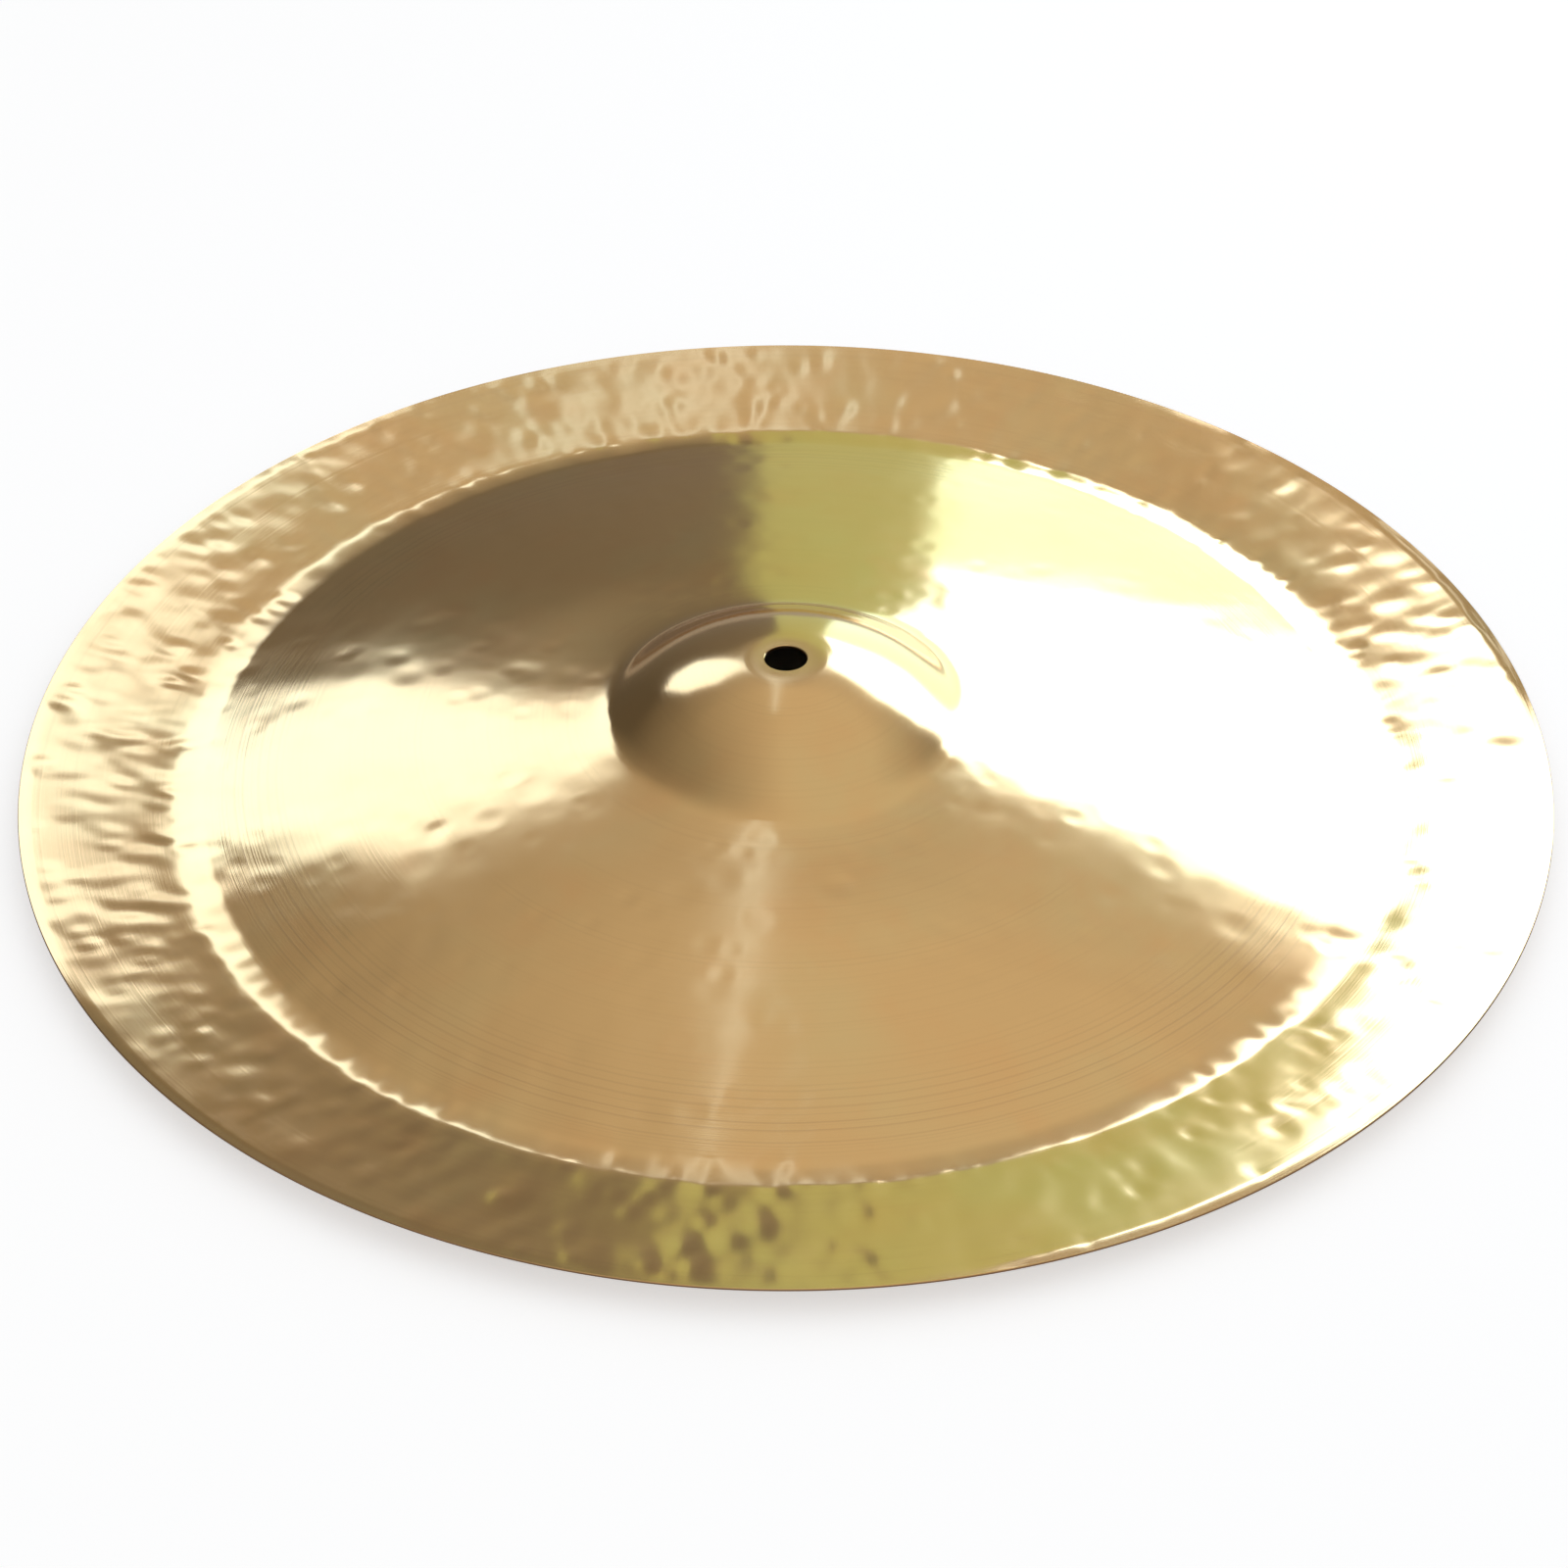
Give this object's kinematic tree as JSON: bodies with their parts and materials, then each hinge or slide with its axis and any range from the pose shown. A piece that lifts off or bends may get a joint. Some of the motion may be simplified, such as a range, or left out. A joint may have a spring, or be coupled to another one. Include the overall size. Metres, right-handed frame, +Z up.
{
  "type": "china cymbal",
  "caption": "Upturned-rim bronze cymbal with a low bell, a bow, a creased flange and a central hole for a stand rod.",
  "frame": {"origin": "on the axis of the hole, in the plane of the surface that the cymbal lies on, bell up, along the bottom of its crease", "axes": "+Z up along the axis of the hole, from the crease towards the bell; X and Y are any two directions square to it, as the cymbal is round"},
  "size_m": [0.4572, 0.4572, 0.0375],
  "materials": {
    "bronze": "hammered, turned and polished bell bronze, clear and bright"
  },
  "bodies": {
    "root": {"cymbal": "bronze"}
  },
  "joints": []
}
